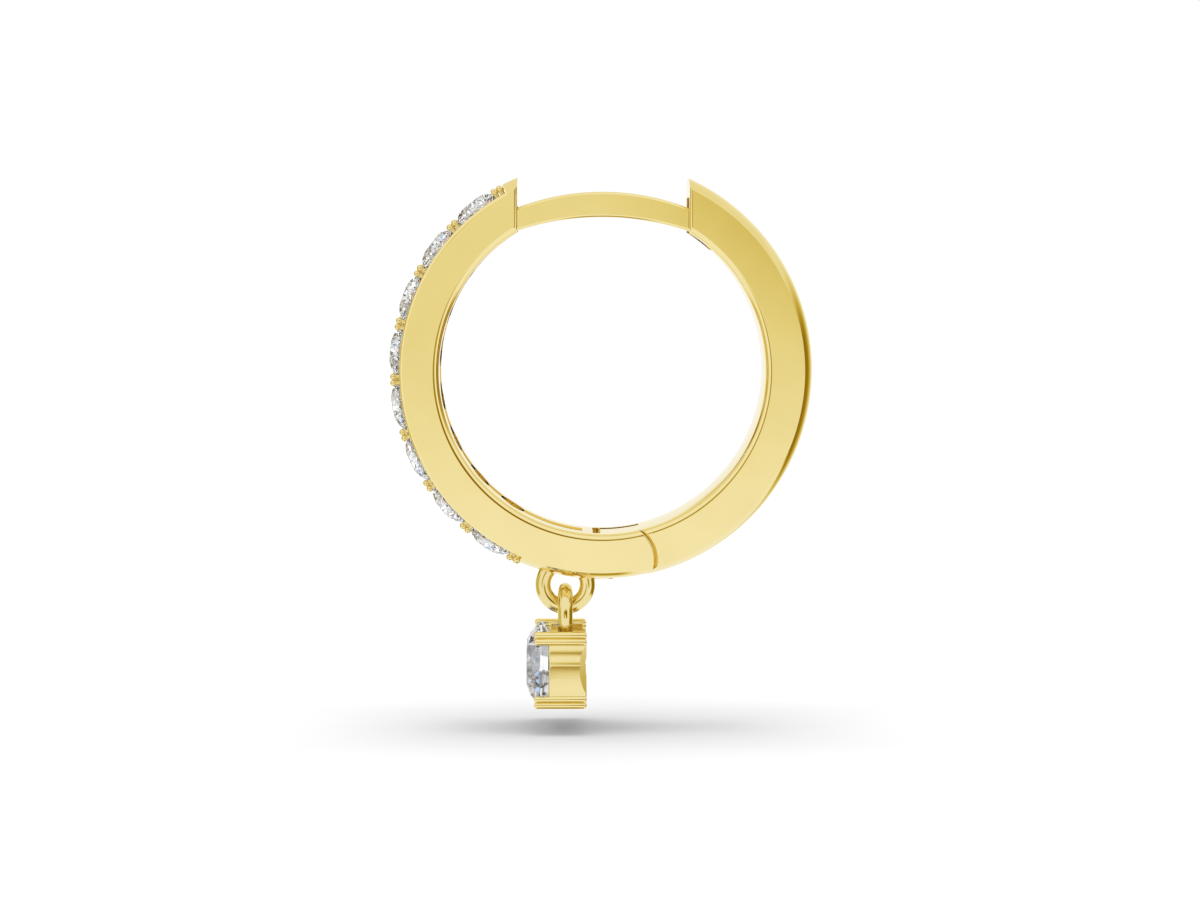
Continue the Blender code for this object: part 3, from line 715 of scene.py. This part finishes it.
# what the stones show: flat cells, whose random number picks the last brightness and hue that start below it
stoneRoom = {"cell": 2.4, "shift": (3.3, 1.1, 5.2),
             "greys": ((0, 0.02), (0.14, 0.25), (0.28, 0.75), (0.48, 1.2), (0.72, 1.5)),
             "hues": ((0, (1, 0.45, 0.40)), (0.03, (0.45, 0.65, 1)), (0.08, (1, 1, 1)))}


def makeFloor():
    bm = bmesh.new()
    bmesh.ops.create_grid(bm, x_segments=1, y_segments=1, size=stage["size"] / mm)
    bmesh.ops.translate(bm, vec=(0, 0, stage["floor"]), verts=bm.verts)
    floor = newMesh("studioFloor", bm)
    material = bpy.data.materials.new("studioFloor")
    material.use_nodes = True
    tree = material.node_tree
    shader = tree.nodes["Principled BSDF"]
    shader.inputs["Base Color"].default_value = (stage["white"],) * 3 + (1,)
    shader.inputs["Roughness"].default_value = stage["rough"]
    shader.inputs["Specular IOR Level"].default_value = 0
    path = tree.nodes.new("ShaderNodeLightPath")         # the polish mirrors the studio, not the floor
    away = sums(tree, "MAXIMUM", path.outputs["Is Glossy Ray"], path.outputs["Is Transmission Ray"])
    clear = tree.nodes.new("ShaderNodeBsdfTransparent")
    both = joined(tree, "ShaderNodeMixShader", {0: away, 1: shader.outputs[0], 2: clear.outputs[0]})
    tree.links.new(both.outputs[0], tree.nodes["Material Output"].inputs["Surface"])
    floor.data.materials.append(material)


def between(tree, value, low, high):
    # 0 at low and 1 at high, with a soft step
    node = joined(tree, "ShaderNodeMapRange", {"Value": value, "From Min": low, "From Max": high},
                  interpolation_type="SMOOTHSTEP")
    return node.outputs["Result"]


def product(tree, *parts):
    total = parts[0]
    for part in parts[1:]:
        total = sums(tree, "MULTIPLY", total, part)
    return total


def flatRamp(tree, value, steps):
    node = joined(tree, "ShaderNodeValToRGB", {"Fac": value})
    ramp = node.color_ramp
    ramp.interpolation = "CONSTANT"
    for index, (place, colour) in enumerate(steps):
        element = ramp.elements[index] if index < 2 else ramp.elements.new(place)
        element.position = place
        element.color = (colour if isinstance(colour, tuple) else (colour,) * 3) + (1,)
    return node.outputs["Color"]


def makeWorld():
    world = bpy.data.worlds.new("studioWorld")
    bpy.context.scene.world = world
    world.cycles.sampling_method = "NONE"
    world.use_nodes = True
    tree = world.node_tree
    tree.nodes.clear()
    ray = tree.nodes.new("ShaderNodeTexCoord").outputs["Generated"]
    x, y, z = joined(tree, "ShaderNodeSeparateXYZ", {"Vector": ray}).outputs[:3]

    toward = joined(tree, "ShaderNodeVectorMath", {0: ray, 1: darkSpot["toward"]}, operation="DOT_PRODUCT")
    spot = between(tree, toward.outputs["Value"], darkSpot["from"], darkSpot["full"])
    leftCut = sums(tree, "MULTIPLY", between(tree, x, *darkBand["left"]), 1 - darkBand["leftShare"])
    band = product(tree, between(tree, z, *darkBand["low"]), between(tree, z, *darkBand["high"]),
                   between(tree, y, *darkBand["front"]), between(tree, y, *darkBand["back"]),
                   sums(tree, "SUBTRACT", 1.0, leftCut))
    back = product(tree, between(tree, z, *dimBack["height"]), between(tree, y, *dimBack["front"]))
    level = product(tree, between(tree, z, *eyeLevel["height"]), between(tree, y, *eyeLevel["front"]))
    across = sums(tree, "ABSOLUTE", x)
    onRight = product(tree, sums(tree, "GREATER_THAN", x, 0.0), between(tree, x, *darkFrame["right"]))
    wide = sums(tree, "MAXIMUM", between(tree, across, *darkFrame["outer"]), onRight)
    opening = product(tree, between(tree, across, *darkFrame["inner"]), between(tree, z, *darkFrame["top"]))
    edging = product(tree, wide, between(tree, z, *darkFrame["low"]), between(tree, z, *darkFrame["high"]),
                     sums(tree, "LESS_THAN", y, 0.0), sums(tree, "SUBTRACT", 1.0, opening))
    left = product(tree, between(tree, x, *darkLeft["across"]), between(tree, y, *darkLeft["front"]),
                   between(tree, z, *darkLeft["low"]), between(tree, z, *darkLeft["high"]))
    under = product(tree, between(tree, z, *below["height"]), between(tree, across, *below["across"]))
    remains = []
    for part, look in ((spot, darkSpot), (edging, darkFrame), (level, eyeLevel), (band, darkBand),
                       (back, dimBack), (under, below), (left, darkLeft)):
        remains.append(sums(tree, "SUBTRACT", 1.0, sums(tree, "MULTIPLY", part, look["depth"])))
    light = product(tree, *remains)
    green, blue = (sums(tree, "POWER", light, power) for power in stage["warmer"])      # dim light is warmer
    warm = joined(tree, "ShaderNodeCombineColor", {"Red": light, "Green": green, "Blue": blue})

    moved = joined(tree, "ShaderNodeVectorMath", {0: ray, 1: stoneRoom["shift"]}, operation="ADD").outputs[0]
    cells = joined(tree, "ShaderNodeTexVoronoi", {"Vector": moved, "Scale": stoneRoom["cell"]})
    parts = joined(tree, "ShaderNodeSeparateColor", {0: cells.outputs["Color"]})
    greys = flatRamp(tree, parts.outputs[0], stoneRoom["greys"])
    hues = flatRamp(tree, parts.outputs[1], stoneRoom["hues"])
    sparkle = mixed(tree, 1.0, greys, hues, "MULTIPLY")

    path = tree.nodes.new("ShaderNodeLightPath")
    colour = warm.outputs["Color"]
    throughStone = sums(tree, "MINIMUM", path.outputs["Transmission Depth"], 1.0)
    floorSees = (stage["aroundWhite"],) * 3 + (1,)
    for share, seen in ((throughStone, sparkle), (path.outputs["Is Diffuse Ray"], floorSees),
                        (path.outputs["Is Camera Ray"], (1, 1, 1, 1))):
        colour = mixed(tree, share, colour, seen)
    around = joined(tree, "ShaderNodeBackground", {"Color": colour})
    out = tree.nodes.new("ShaderNodeOutputWorld")
    tree.links.new(around.outputs[0], out.inputs["Surface"])


def makeSuns():
    for index, sun in enumerate(softSuns):
        data = bpy.data.lights.new("softSun%d" % index, "SUN")
        data.angle = math.radians(sun["width"])
        data.energy = sun["strength"]
        lamp = bpy.data.objects.new("softSun%d" % index, data)
        bpy.context.scene.collection.objects.link(lamp)
        lamp.rotation_euler = (0, math.radians(sun["tilt"]), 0)
        lamp.visible_glossy = False
        lamp.visible_transmission = False


makeFloor()
makeWorld()
makeSuns()
bpy.context.scene.view_settings.view_transform = "Standard"
bpy.context.scene.cycles.caustics_reflective = False
bpy.context.scene.cycles.caustics_refractive = False
bpy.context.scene.cycles.glossy_bounces = 12
bpy.context.scene.cycles.transmission_bounces = 16
bpy.context.scene.cycles.max_bounces = 20
print("stage lit")
